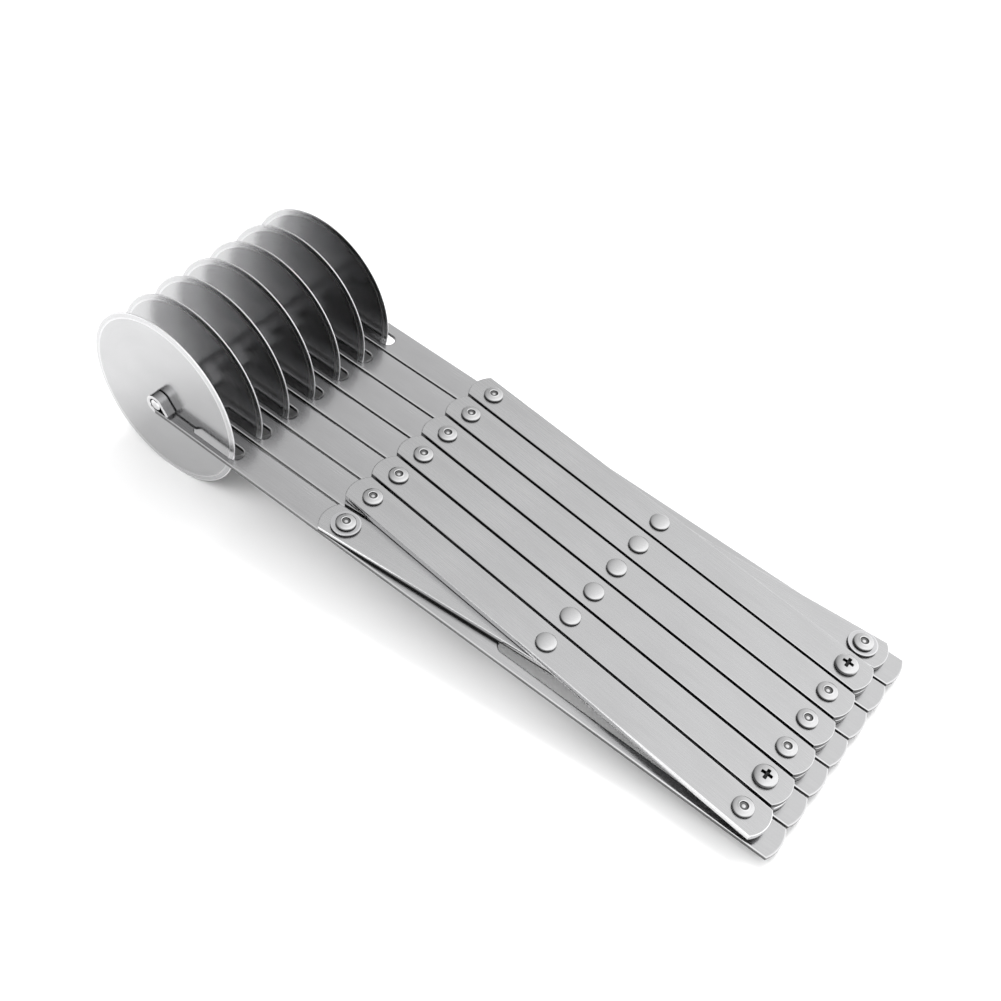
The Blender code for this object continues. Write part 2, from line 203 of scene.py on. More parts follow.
WHEEL_COUNT = sum(1 for node in nodes if node.startswith("wheel_"))
LANES = [sum(corner.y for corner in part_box(f"arm_{k + 1}")) / 2 for k in range(WHEEL_COUNT)]
PITCH = (LANES[-1] - LANES[0]) / (WHEEL_COUNT - 1)
AXLE = TO_FRAME @ Vector(joints["wheel_spin_4"]["pos_m"])
AXLE_AHEAD = -AXLE.x
AXLE_HEIGHT = AXLE.z
REAR_PIVOT = 2 * (TO_FRAME @ Vector(joints["middle_pivot_1"]["pos_m"])).x
BAR_SPAN = math.hypot(REAR_PIVOT, PITCH)
BAR_ANGLE = math.atan2(PITCH, REAR_PIVOT)
ARM_TOP = -local_box("arm_4")[0].z
ARM_THICKNESS = 2 * ARM_TOP
KNUCKLE_RADIUS = AXLE_HEIGHT + ARM_TOP
BOTTOM_BAR_LOW, BOTTOM_BAR_TOP = (corner.z for corner in local_box("bottom_bar_4"))
TOP_BAR_LOW, TOP_BAR_TOP = (corner.z for corner in local_box("top_bar_4"))
BAR_THICKNESS = TOP_BAR_TOP - TOP_BAR_LOW
HEAD_HEIGHT = local_box("middle_rivet_1")[1].z - TOP_BAR_TOP - GAP
WHEEL_RADIUS = (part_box("wheel_4")[1].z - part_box("wheel_4")[0].z) / 2


# ---------------------------------------------------------------- outlines

def arc(centre, radius, start, end, steps):
    """Points along an arc, both ends included."""
    points = []
    for step in range(steps + 1):
        angle = start + (end - start) * step / steps
        points.append((centre[0] + radius * math.cos(angle), centre[1] + radius * math.sin(angle)))
    return points


def circle(centre, radius, sides):
    return arc(centre, radius, 0.0, 2 * math.pi, sides)[:-1]


def round_end(tip, half_width, radius, direction):
    """A shallow rounded end whose middle is at tip; direction is +1 rearwards, -1 forwards."""
    half = math.asin(half_width / radius)
    centre = (tip - direction * radius, 0.0)
    middle = 0.0 if direction > 0 else math.pi
    return arc(centre, radius, middle - half, middle + half, ARC_STEPS)


def stadium(start, end, radius):
    """A long slot along u, from one round end's centre to the other's."""
    rear = arc((end, 0.0), radius, -math.pi / 2, math.pi / 2, ARC_STEPS)
    front = arc((start, 0.0), radius, math.pi / 2, 3 * math.pi / 2, ARC_STEPS)
    return rear + front


def inset_loop(points, distances, is_hole):
    """Move each side of a loop into the material by its own distance."""
    count = len(points)
    area = sum(points[k][0] * points[(k + 1) % count][1] - points[(k + 1) % count][0] * points[k][1]
               for k in range(count))
    sign = 1.0 if (area > 0) != is_hole else -1.0
    normals = []
    for index in range(count):
        u0, v0 = points[index]
        u1, v1 = points[(index + 1) % count]
        length = math.hypot(u1 - u0, v1 - v0)
        normals.append((sign * (v1 - v0) / length, -sign * (u1 - u0) / length))
    moved = []
    for index in range(count):
        before, after = normals[index - 1], normals[index]
        near, far = distances[index - 1], distances[index]
        cross = before[0] * after[1] - before[1] * after[0]
        u, v = points[index]
        if abs(cross) < 0.02:
            mean = (near + far) / 2
            moved.append((u - after[0] * mean, v - after[1] * mean))
        else:
            moved.append((u + (far * before[1] - near * after[1]) / cross,
                          v + (near * after[0] - far * before[0]) / cross))
    return moved


# ---------------------------------------------------------------- mesh building

def new_bmesh():
    bm = bmesh.new()
    bm.verts.layers.float.new("light_and_wear_mark")
    return bm


def to_mesh(bm, name, sharp_angle=SHARP_ANGLE):
    """Finished mesh, smooth except at real corners, with its faces pointing out."""
    bmesh.ops.recalc_face_normals(bm, faces=bm.faces)
    mesh = bpy.data.meshes.new(name)
    bm.to_mesh(mesh)
    bm.free()
    mesh.shade_smooth()
    mesh.set_sharp_from_angle(angle=math.radians(sharp_angle))
    return mesh


def edge_levels(low, high, top_edge, under_edge, wall=SHADED_WALL):
    """The section of a strip's rounded edge, from the lower face up to the upper face.
    Each level is (inset from the outline, height, painted light and wear): the under edge and the wall get the
    wall's painted tone, painted shade unless given otherwise, and the upper edge is rubbed bright with a painted
    highlight."""
    wall_foot, wall_head = wall
    reach, drop = under_edge
    levels = [(reach + FLAT_MARGIN, low, 0.0)]
    for step in range(EDGE_STEPS + 1):
        angle = math.pi / 2 * step / EDGE_STEPS
        levels.append((reach * (1 - math.sin(angle)), low + drop * (1 - math.cos(angle)),
                       wall_foot))
    reach, drop = top_edge
    for step in range(EDGE_STEPS + 1):
        share = step / EDGE_STEPS
        angle = math.pi / 2 * share
        # upper edge: from the wall's painted tone up to a rubbed-bright edge with a painted highlight, fading out
        # on the flat
        light_and_wear = max(wall_head, min(BRIGHT, 4 * share - 1)) * min(1.0, 2.5 * (1 - share))
        levels.append((reach * (1 - math.cos(angle)), high - drop * (1 - math.sin(angle)), light_and_wear))
    levels.append((reach + FLAT_MARGIN, high, 0.0))
    return levels


def add_strip(bm, outline, holes, levels, open_sides=()):
    """Flat strip with rounded edges and holes. Returns the outline's rings, one for each level."""
    light_and_wear_mark = bm.verts.layers.float["light_and_wear_mark"]
    all_rings = []
    for number, loop in enumerate([outline] + holes):
        rings = []
        for inset, height, light_and_wear in levels:
            distances = [0.0 if number == 0 and side in open_sides else inset
                         for side in range(len(loop))]
            ring = []
            for u, v in inset_loop(loop, distances, number > 0):
                vertex = bm.verts.new((u, v, height))
                vertex[light_and_wear_mark] = light_and_wear
                ring.append(vertex)
            rings.append(ring)
        all_rings.append(rings)
        for lower, upper in zip(rings, rings[1:]):
            for index in range(len(loop)):
                if number == 0 and index in open_sides:
                    continue
                after = (index + 1) % len(loop)
                bm.faces.new((lower[index], lower[after], upper[after], upper[index]))
    for level in (0, -1):
        edges = []
        for rings in all_rings:
            ring = rings[level]
            for index, vertex in enumerate(ring):
                after = ring[(index + 1) % len(ring)]
                edges.append(bm.edges.get((vertex, after)) or bm.edges.new((vertex, after)))
        bmesh.ops.triangle_fill(bm, use_beauty=True, use_dissolve=False, edges=edges)
    return all_rings[0]


def lathe(bm, profile, sides):
    """Solid of revolution about w from (radius, height) or (radius, height, painted light and wear)
    points, closed in a ring or on the axis."""
    light_and_wear_mark = bm.verts.layers.float["light_and_wear_mark"]
    rings = []
    for radius, height, *light_and_wear in profile:
        amount = light_and_wear[0] if light_and_wear else 0.0
        count = 1 if radius < 1e-9 else sides
        ring = []
        for side in range(count):
            angle = 2 * math.pi * side / sides
            vertex = bm.verts.new((radius * math.cos(angle), radius * math.sin(angle), height))
            vertex[light_and_wear_mark] = amount
            ring.append(vertex)
        rings.append(ring)
    pairs = list(zip(rings, rings[1:]))
    if len(rings[0]) > 1:
        pairs.append((rings[-1], rings[0]))
    for first, second in pairs:
        join_rings(bm, first, second, sides)


def join_rings(bm, first, second, sides):
    """Faces between two rings, either of which may be a single point."""
    for side in range(sides):
        after = (side + 1) % sides
        if len(first) == 1:
            bm.faces.new((first[0], second[side], second[after]))
        elif len(second) == 1:
            bm.faces.new((first[side], first[after], second[0]))
        else:
            bm.faces.new((first[side], first[after], second[after], second[side]))


# ---------------------------------------------------------------- arms and bars

def knuckle_path():
    """Middle line of a rolled tine, as (u, w): under the axle, round it and back to the tine."""
    radius = KNUCKLE_RADIUS - ARM_THICKNESS / 2
    centre = Vector((-AXLE_AHEAD, AXLE_HEIGHT))
    points = []
    for step in range(KNUCKLE_STEPS + 1):
        turn = KNUCKLE_TURN * step / KNUCKLE_STEPS
        points.append(centre + radius * Vector((-math.sin(turn), -math.cos(turn))))
    slope = Vector((-math.cos(KNUCKLE_TURN), math.sin(KNUCKLE_TURN)))
    lowest_corner = points[-1].y - ARM_THICKNESS / 2 * slope.x
    drop = (lowest_corner - ARM_TOP - GAP) / -slope.y
    last = points[-1]
    for share in (0.5, 1.0):
        points.append(last + slope * drop * share)
    return points


def path_normals(points):
    """Unit normals of a path in the (u, w) plane, turned a quarter from its direction."""
    normals = []
    for index in range(len(points)):
        before = points[max(index - 1, 0)]
        after = points[min(index + 1, len(points) - 1)]
        along = (after - before).normalized()
        normals.append(Vector((-along.y, along.x)))
    normals[0] = Vector((0.0, -1.0))
    return normals


def add_knuckle(bm, rings, corner):
    """Sweep a tine's end section round the axle, with a painted highlight over all of it."""
    light_and_wear_mark = bm.verts.layers.float["light_and_wear_mark"]
    section = [ring[corner] for ring in rings] + [ring[corner + 1] for ring in reversed(rings)]
    shape = [(vertex.co.y, vertex.co.z, vertex[light_and_wear_mark]) for vertex in section]
    path = knuckle_path()
    previous = section
    for point, normal in list(zip(path, path_normals(path)))[1:]:
        current = []
        for v, height, light_and_wear in shape:
            place = point - normal * height
            vertex = bm.verts.new((place.x, v, place.y))
            # painted highlight: every vertex of the knuckle is made lighter
            vertex[light_and_wear_mark] = max(light_and_wear, KNUCKLE_HIGHLIGHT)
            current.append(vertex)
        for side in range(len(section)):
            after = (side + 1) % len(section)
            bm.faces.new((previous[side], previous[after], current[after], current[side]))
        previous = current
    bm.faces.new(previous)


def arm_mesh():
    """Arm with rounded edges, a fork, rolled knuckles, a pivot hole and a long slot."""
    half = ARM_WIDTH / 2
    fork_radius = (FORK_FAR - FORK_NEAR) / 2
    fork_centre = (-FORK_END_AHEAD - fork_radius, (FORK_FAR + FORK_NEAR) / 2)
    outline = round_end(REAR_PIVOT + ARM_TAIL, half, ARM_END_RADIUS, 1)
    far_tine = len(outline)
    outline += [(-AXLE_AHEAD, half), (-AXLE_AHEAD, FORK_FAR)]
    outline += arc(fork_centre, fork_radius, math.pi / 2, -math.pi / 2, ARC_STEPS)
    outline += [(PAD_SLOPE - PAD_END_AHEAD, FORK_NEAR), (-PAD_END_AHEAD, PAD_EDGE)]
    near_tine = len(outline)
    outline += [(-AXLE_AHEAD, PAD_EDGE), (-AXLE_AHEAD, -half)]
    holes = [
        circle((0.0, 0.0), HOLE_RADIUS, ROUND_SIDES),
        stadium(SLOT_FRONT + SLOT_HALF_WIDTH, REAR_PIVOT + GAP, SLOT_HALF_WIDTH),
    ]
    bm = new_bmesh()
    # painted shade on the arm's side walls and under edges, painted highlight on its upper edges
    levels = edge_levels(-ARM_TOP, ARM_TOP, ARM_EDGE, UNDER_EDGE)
    rings = add_strip(bm, outline, holes, levels, open_sides=(far_tine, near_tine))
    for corner in (far_tine, near_tine):
        add_knuckle(bm, rings, corner)
    return to_mesh(bm, "arm_fine")


def bar_mesh(name, wall):
    """Scissor bar with rounded edges and three pivot holes."""
    half = BAR_WIDTH / 2
    outline = round_end(BAR_SPAN + BAR_TAIL, half, BAR_END_RADIUS, 1)
    outline += round_end(-BAR_TAIL, half, BAR_END_RADIUS, -1)
    pivots = (0.0, BAR_SPAN / 2, BAR_SPAN)
    holes = [circle((pivot, 0.0), HOLE_RADIUS, ROUND_SIDES) for pivot in pivots]
    bm = new_bmesh()
    add_strip(bm, outline, holes, edge_levels(0.0, BAR_THICKNESS, BAR_EDGE, UNDER_EDGE, wall))
    return to_mesh(bm, name)


# ---------------------------------------------------------------- wheels and axles

def wheel_mesh():
    """Disc with a ground bevel on each side of its rim, and a drawn collar. The bevel is rougher and carries a
    painted highlight, with a stronger painted highlight on the rim's edge. The axis is w.
    """
    half = WHEEL_THICKNESS / 2
    land = RIM_LAND / 2
    bore = AXLE_RADIUS + 0.1 * MM
    bevel = WHEEL_RADIUS - RIM_BEVEL
    soft = 0.08 * MM
    collar_end = WHEEL_OFFSET + FORK_FAR - GAP
    # painted highlight on the bevel's inner line, on the ground bevel and on the rim's edge
    near_side = [
        (bore, -half + soft), (bore + soft, -half), (COLLAR_RADIUS, -half),
        (bevel - RIM_LINE, -half), (bevel - 0.5 * RIM_LINE, -half, BEVEL_LINE_HIGHLIGHT),
        (bevel + soft, -half + 0.3 * soft, BEVEL_LINE_HIGHLIGHT),
    ]
    fall = (half - 0.3 * soft - land) / (WHEEL_RADIUS - bevel - soft)
    for out, light_and_wear in ((bevel + RIM_LINE, GROUND_BEVEL_HIGHLIGHT), (WHEEL_RADIUS - RIM_LINE, GROUND_BEVEL_HIGHLIGHT),
                      (WHEEL_RADIUS - 0.5 * RIM_LINE, BRIGHT)):
        near_side.append((out, -half + 0.3 * soft + fall * (out - bevel - soft), light_and_wear))
    near_side += [(WHEEL_RADIUS - 0.3 * land, -land, BRIGHT),
                  (WHEEL_RADIUS, -0.6 * land, BRIGHT)]
    profile = near_side + [(radius, -height, *light_and_wear) for radius, height, *light_and_wear in near_side[:2:-1]]
    profile += [
        (COLLAR_RADIUS + 5 * soft, half), (COLLAR_RADIUS + soft, half + soft),
        (COLLAR_RADIUS, half + 5 * soft), (COLLAR_RADIUS, collar_end - soft),
        (COLLAR_RADIUS - soft, collar_end), (bore + soft, collar_end), (bore, collar_end - soft),
    ]
    bm = new_bmesh()
    lathe(bm, profile, WHEEL_SIDES)
    return to_mesh(bm, "wheel_fine", 14)


def axle_mesh():
    """Pin as long as the arm is wide, with slightly domed ends. The axis is w."""
    half = ARM_WIDTH / 2
    chamfer = 0.3 * MM
    # the end chamfer is made lighter
    near_end = [(0.0, -half), (0.5 * AXLE_RADIUS, -half + 0.03 * MM),
                (AXLE_RADIUS - chamfer, -half + 0.1 * MM, BRIGHT),
                (AXLE_RADIUS, -half + chamfer, BRIGHT), (AXLE_RADIUS, -half + 3 * chamfer)]
    profile = near_end + [(radius, -height, *light_and_wear) for radius, height, *light_and_wear in reversed(near_end)]
    bm = new_bmesh()
    lathe(bm, profile, ROUND_SIDES)
    return to_mesh(bm, "axle_fine")


# ---------------------------------------------------------------- rivets, screws and washers

def dome(radius, seat, height, rim, steps):
    """Profile of a domed head from its middle down to a short upright rim. Painted shade darkens
    the outermost quarter of the dome towards the rim, and the rim itself."""
    points = []
    for step in range(steps + 1):
        share = step / steps
        angle = math.pi / 2 * share
        points.append((radius * math.sin(angle), seat + rim + (height - rim) * math.cos(angle),
                       PAINTED_SHADE * max(0.0, 4 * share - 3)))
    points.append((radius, seat + 0.55 * rim, PAINTED_SHADE))
    points.append((radius, seat + 0.05 * MM, PAINTED_SHADE))
    points.append((radius - 0.05 * MM, seat, PAINTED_SHADE))
    return points


def hollow(top):
    """Profile of a rivet's sunken centre, from its middle, lit by a painted highlight, out over the ring round it,
    darkened by painted shade, to a lip with a painted highlight.
    """
    floor = top - HOLLOW_DEPTH
    steps_out = [
        (-0.85 * MM, floor + 0.08 * MM, BRIGHT), (-0.65 * MM, floor + 0.04 * MM, PAINTED_SHADE),
        (-0.4 * MM, floor, PAINTED_SHADE), (-0.2 * MM, floor + 0.08 * MM, PAINTED_SHADE),
        (-0.06 * MM, top - 0.12 * MM, PAINTED_SHADE), (0.0, top - 0.04 * MM, BRIGHT),
        (0.12 * MM, top, BRIGHT),
    ]
    centre = [(0.0, floor + 0.1 * MM, BRIGHT)]
    return centre + [(HOLLOW_RADIUS + out, height, light_and_wear) for out, height, light_and_wear in steps_out]


def rivet_mesh(name, node):
    """Rivet whose round head has a hollow centre, with an upset tail under the arm."""
    low, high = (corner.z for corner in local_box(node))
    seat = high - HEAD_HEIGHT
    tail = low + TAIL_HEIGHT
    head = [point for point in dome(HEAD_RADIUS, seat, HEAD_HEIGHT, HEAD_RIM, DOME_STEPS)
            if point[0] > HOLLOW_RADIUS + 0.25 * MM]
    profile = hollow(high) + head
    profile += [(PIN_RADIUS, seat), (PIN_RADIUS, tail), (TAIL_RADIUS - 0.1 * MM, tail),
                (TAIL_RADIUS, tail - 0.1 * MM), (0.92 * TAIL_RADIUS, tail - 0.5 * TAIL_HEIGHT),
                (0.72 * TAIL_RADIUS, low + 0.06 * MM), (0.6 * TAIL_RADIUS, low), (0.0, low)]
    bm = new_bmesh()
    lathe(bm, profile, ROUND_SIDES)
    return to_mesh(bm, name)


def middle_rivet_mesh():
    """Plain domed rivet with its tail flush in the bottom bar."""
    low, high = (corner.z for corner in local_box("middle_rivet_1"))
    seat = high - HEAD_HEIGHT
    profile = dome(HEAD_RADIUS, seat, HEAD_HEIGHT, MIDDLE_HEAD_RIM, DOME_STEPS)
    profile += [(PIN_RADIUS, seat), (PIN_RADIUS, low + 0.1 * MM),
                (PIN_RADIUS - 0.1 * MM, low), (0.0, low)]
    bm = new_bmesh()
    lathe(bm, profile, ROUND_SIDES)
    return to_mesh(bm, "middle_rivet_fine")


def add_thread(bm, low, high):
    """Closed threaded rod about w between two heights."""
    rows = int(math.ceil((high - low) / THREAD_PITCH * THREAD_ROWS))
    light_and_wear_mark = bm.verts.layers.float["light_and_wear_mark"]
    rings = [[bm.verts.new((0.0, 0.0, high))]]
    for row in range(rows + 1):
        height = high + (low - high) * row / rows
        ring = []
        for side in range(THREAD_SIDES):
            angle = 2 * math.pi * side / THREAD_SIDES
            turn = (height / THREAD_PITCH - angle / (2 * math.pi)) % 1.0
            depth = THREAD_DEPTH * abs(2 * turn - 1)
            if row in (0, rows):
                depth = THREAD_DEPTH
            radius = PIN_RADIUS - depth
            vertex = bm.verts.new((radius * math.cos(angle), radius * math.sin(angle), height))
            # the crests are made lighter than the roots
            vertex[light_and_wear_mark] = BRIGHT * (1.0 - depth / THREAD_DEPTH)
            ring.append(vertex)
        rings.append(ring)
    rings.append([bm.verts.new((0.0, 0.0, low))])
    for first, second in zip(rings, rings[1:]):
        join_rings(bm, first, second, THREAD_SIDES)


def cross_recess(bm, top):
    """Tapered cross-shaped cutter, narrower towards its bottom."""
    deep = top - RECESS_DEPTH
    rings = []
    for height, long_half, short_half in ((top + 0.5 * MM, 1.95 * MM, 0.50 * MM),
                                          (deep + 0.35 * MM, 1.15 * MM, 0.36 * MM),
                                          (deep, 0.36 * MM, 0.30 * MM)):
        ring = []
        for quarter in range(4):
            turn = Matrix.Rotation(quarter * math.pi / 2, 3, "Z")
            for u, v in ((long_half, -short_half), (long_half, short_half),
                         (short_half, short_half)):
                ring.append(bm.verts.new(turn @ Vector((u, v, height))))
        rings.append(ring)
    for first, second in zip(rings, rings[1:]):
        join_rings(bm, first, second, 12)
    bm.faces.new(rings[0])
    bm.faces.new(rings[-1])


def cut(mesh, cutter_mesh, name):
    """The first mesh with the second cut out of it."""
    body = bpy.data.objects.new("cut_body", mesh)
    cutter = bpy.data.objects.new("cut_tool", cutter_mesh)
    for item in (body, cutter):
        bpy.context.scene.collection.objects.link(item)
    modifier = body.modifiers.new("cut", "BOOLEAN")
    modifier.operation = "DIFFERENCE"
    modifier.solver = "EXACT"
    modifier.object = cutter
    graph = bpy.context.evaluated_depsgraph_get()
    result = bpy.data.meshes.new_from_object(body.evaluated_get(graph))
    result.name = name
    for item in (body, cutter):
        bpy.data.objects.remove(item, do_unlink=True)
    result.set_sharp_from_angle(angle=math.radians(SHARP_ANGLE))
    return result


def paint_recess_shade(mesh, plain):
    """Paint shade on the vertices that a cut brought into a plain mesh, right up to the cut's rim: the cross
    recess is darkened nearly to black.
    """
    def spot_of(vertex):
        return tuple(round(number / GAP, 3) for number in vertex.co)

    kept = {spot_of(vertex) for vertex in plain.vertices}
    light_and_wear = mesh.attributes["light_and_wear_mark"].data
    for index, vertex in enumerate(mesh.vertices):
        if spot_of(vertex) not in kept:
            light_and_wear[index].value = RECESS_PAINTED_SHADE


def screw_mesh(node):
    """Pan-head screw with a tapered cross recess and a threaded shank."""
    low, high = (corner.z for corner in local_box(node))
    seat = high - SCREW_HEAD_HEIGHT
    bm = new_bmesh()
    neck = seat - 1.0 * MM
    profile = dome(SCREW_HEAD_RADIUS, seat, SCREW_HEAD_HEIGHT, SCREW_HEAD_RIM, SCREW_DOME_STEPS)
    profile += [(PIN_RADIUS, seat), (PIN_RADIUS, neck), (0.0, neck)]
    lathe(bm, profile, ROUND_SIDES)
    head = to_mesh(bm, "screw_head")
    bm = new_bmesh()
    cross_recess(bm, high)
    recessed = cut(head, to_mesh(bm, "recess"), "screw_recessed")
    paint_recess_shade(recessed, head)
    bm = new_bmesh()
    add_thread(bm, low, neck + 0.1 * MM)
    bm.from_mesh(recessed)
    return to_mesh(bm, "screw_fine", 30)


def nut_mesh():
    """Six-sided nut whose corners are turned off, with a plain bore."""
    low, high = (corner.z for corner in local_box("rear_nut_2"))
    apothem = NUT_RADIUS * math.cos(math.pi / 6)
    flat_radius = 0.97 * apothem
    bm = new_bmesh()
    light_and_wear_mark = bm.verts.layers.float["light_and_wear_mark"]
    rings = []
    for part in ("bore_low", "bore_high", "top", "shoulder_high", "shoulder_low", "bottom"):
        ring = []
        for side in range(NUT_SIDES):
            angle = 2 * math.pi * side / NUT_SIDES
            corner = (angle + math.pi / 6) % (math.pi / 3) - math.pi / 6
            hexagon = apothem / math.cos(math.pi / 6 - abs(corner))
            slope = (hexagon - flat_radius) * math.tan(NUT_CHAMFER)
            radius, height = {
                "bore_low": (HOLE_RADIUS, low), "bore_high": (HOLE_RADIUS, high),
                "top": (flat_radius, high), "bottom": (flat_radius, low),
                "shoulder_high": (hexagon, high - slope), "shoulder_low": (hexagon, low + slope),
            }[part]
            vertex = bm.verts.new((radius * math.cos(angle), radius * math.sin(angle), height))
            # the turned-off corners are made lighter
            vertex[light_and_wear_mark] = BRIGHT if part.startswith("shoulder") else 0.0
            ring.append(vertex)
        rings.append(ring)
    for first, second in zip(rings, rings[1:] + rings[:1]):
        join_rings(bm, first, second, NUT_SIDES)
    return to_mesh(bm, "nut_fine", 20)


def ring_mesh(name, node, outer):
    """Washer or spacer with softly rounded edges."""
    low, high = (corner.z for corner in local_box(node))
    soft = 0.12 * MM
    # painted shade on the outer wall and under edge, which face other parts; the top outer edge is made lighter
    profile = [(HOLE_RADIUS, low), (outer - soft, low, PAINTED_SHADE), (outer, low + soft, PAINTED_SHADE),
               (outer, high - 1.5 * soft, PAINTED_SHADE), (outer - 0.3 * soft, high - 0.3 * soft, BRIGHT),
               (outer - 2 * soft, high, BRIGHT), (outer - 4 * soft, high),
               (HOLE_RADIUS + soft, high), (HOLE_RADIUS, high - soft)]
    bm = new_bmesh()
    lathe(bm, profile, ROUND_SIDES)
    return to_mesh(bm, name)


# ---------------------------------------------------------------- materials

class Shader:
    """Small helper that adds and links the nodes of a material or of a world."""

    def __init__(self, owner):
        owner.use_nodes = True
        self.tree = owner.node_tree

    def add(self, kind, **values):
        node = self.tree.nodes.new(kind)
        for key, value in values.items():
            setattr(node, key, value)
        return node

    def link(self, source, target):
        self.tree.links.new(source, target)

    def math(self, operation, first, second):
        node = self.add("ShaderNodeMath", operation=operation)
        for socket, value in zip(node.inputs, (first, second)):
            if isinstance(value, (int, float)):
                socket.default_value = value
            else:
                self.link(value, socket)
        return node.outputs[0]

    def remap(self, value, low, high, to_low, to_high):
        node = self.add("ShaderNodeMapRange")
        self.link(value, node.inputs["Value"])
        limits = {"From Min": low, "From Max": high, "To Min": to_low, "To Max": to_high}
        for key, number in limits.items():
            node.inputs[key].default_value = number
        return node.outputs["Result"]

    def noise(self, vector, scale, detail=3.0):
        node = self.add("ShaderNodeTexNoise")
        node.inputs["Scale"].default_value = scale
        node.inputs["Detail"].default_value = detail
        self.link(vector, node.inputs["Vector"])
        return node.outputs["Fac"]

    def stretched(self, scale):
        """Object coordinates scaled differently along each axis."""
        coordinates = self.add("ShaderNodeTexCoord")
        mapping = self.add("ShaderNodeMapping")
        mapping.inputs["Scale"].default_value = scale
        self.link(coordinates.outputs["Object"], mapping.inputs["Vector"])
        return mapping.outputs["Vector"]

    def turned(self, around, along):
        """Coordinates that follow circles round the object's w axis."""
        coordinates = self.add("ShaderNodeTexCoord")
        split = self.add("ShaderNodeSeparateXYZ")
        self.link(coordinates.outputs["Object"], split.inputs[0])
        x, y, z = split.outputs
        radius = self.math("SQRT", self.math("ADD", self.math("MULTIPLY", x, x),
                                             self.math("MULTIPLY", y, y)), 0.0)
        safe = self.math("ADD", radius, 0.01 * MM)
        join = self.add("ShaderNodeCombineXYZ")
        self.link(self.math("MULTIPLY", self.math("DIVIDE", x, safe), around), join.inputs[0])
        self.link(self.math("MULTIPLY", self.math("DIVIDE", y, safe), around), join.inputs[1])
        self.link(self.math("MULTIPLY", self.math("ADD", radius, z), along), join.inputs[2])
        return join.outputs[0]


def steel(name, colour, roughness, is_turned, grain_depth,
          wear_and_highlight_gain=WEAR_AND_HIGHLIGHT_GAIN, worn_roughness=WORN_ROUGHNESS):
    """Steel with a straight or turned grain, patches of uneven polish, and a mark on each vertex
    that lightens it for rubbed edges and painted highlights and darkens it with painted shade."""
    material = bpy.data.materials.new(name)
    shader = Shader(material)
    surface = shader.tree.nodes["Principled BSDF"].inputs
    if is_turned:
        fine = shader.noise(shader.turned(TURNED_STRETCH, TURNED_GRAIN), 1.0, 4.0)
    else:
        fine = shader.noise(shader.stretched(STRAIGHT_GRAIN), 1.0, 4.0)
    patch = shader.noise(shader.stretched(PATCHES), 1.0, 3.0)
    light_and_wear_mark = shader.add("ShaderNodeAttribute", attribute_name="light_and_wear_mark").outputs["Fac"]
    # the mark's positive part is rubbed wear and painted highlight, its negative part painted shade
    wear_and_highlight = shader.math("MAXIMUM", light_and_wear_mark, 0.0)
    painted_shade = shader.math("MINIMUM", light_and_wear_mark, 0.0)

    tone = shader.math("ADD", shader.remap(fine, *NOISE_SPREAD, 0.95, 1.03),
                       shader.remap(patch, *NOISE_SPREAD, -0.035, 0.035))
    tone = shader.math("ADD", tone, shader.math("MULTIPLY", wear_and_highlight, wear_and_highlight_gain))
    tone = shader.math("ADD", tone, shader.math("MULTIPLY", painted_shade, PAINTED_SHADE_LOSS))
    tone = shader.math("MAXIMUM", tone, DARKEST)
    scale = shader.add("ShaderNodeVectorMath", operation="SCALE")
    scale.inputs[0].default_value = colour
    shader.link(tone, scale.inputs["Scale"])
    shader.link(scale.outputs[0], surface["Base Color"])

    rough = shader.math("ADD",
                        shader.remap(fine, *NOISE_SPREAD, roughness - 0.03, roughness + 0.05),
                        shader.remap(patch, *NOISE_SPREAD, -0.02, 0.02))
    rough = shader.math("ADD", rough, shader.math("MULTIPLY", wear_and_highlight, worn_roughness))
    shader.link(rough, surface["Roughness"])

    bump = shader.add("ShaderNodeBump")
    bump.inputs["Strength"].default_value = 1.0
    bump.inputs["Distance"].default_value = grain_depth
    shader.link(fine, bump.inputs["Height"])
    shader.link(bump.outputs["Normal"], surface["Normal"])
    surface["Metallic"].default_value = 1.0
    return material


STEELS = {
    "arm_steel": steel("arm_satin", (0.48, 0.48, 0.485), 0.21, False, STRIP_GRAIN_DEPTH),
    "bar_steel": steel("bar_satin", (0.50, 0.50, 0.505), 0.25, False, STRIP_GRAIN_DEPTH),
    # the ground bevel is rougher, and its strong lightening is a painted highlight
    "wheel_steel": steel("wheel_ground", (0.42, 0.42, 0.425), 0.19, True, TURNED_GRAIN_DEPTH,
                         wear_and_highlight_gain=0.9, worn_roughness=0.3),
    "rivet_steel": steel("rivet_bright", (0.55, 0.55, 0.555), 0.14, True, TURNED_GRAIN_DEPTH),
    "zinc_steel": steel("zinc_plate", (0.54, 0.54, 0.55), 0.20, True, PLATED_GRAIN_DEPTH),
}


# ---------------------------------------------------------------- placing the pieces

def place(node, mesh, local):
    """A fine piece that stands for a CAD node and rides on the same body."""
    piece = bpy.data.objects.new(f"{node}_fine", mesh)
    bpy.context.scene.collection.objects.link(piece)
    piece.matrix_world = FRAME @ local
    if not mesh.materials:
        mesh.materials.append(STEELS[slot_of[node]])
    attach(piece, body_of[node])
    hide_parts(node)
    return piece


def spot(u, v, w=0.0):
    return Matrix.Translation((u, v, w))


def add_arms_and_wheels():
    arm = arm_mesh()
    wheel = wheel_mesh()
    axle = axle_mesh()
    lay_down = Matrix.Rotation(-math.pi / 2, 4, "X")
    level = FRAME.to_3x3().inverted().to_4x4() @ lay_down
    for index, lane in enumerate(LANES):
        number = index + 1
        place(f"arm_{number}", arm, spot(0.0, lane))
        place(f"axle_{number}", axle, spot(-AXLE_AHEAD, lane, AXLE_HEIGHT) @ lay_down)
        place(f"wheel_{number}", wheel, spot(-AXLE_AHEAD, lane - WHEEL_OFFSET, AXLE_HEIGHT) @ level)


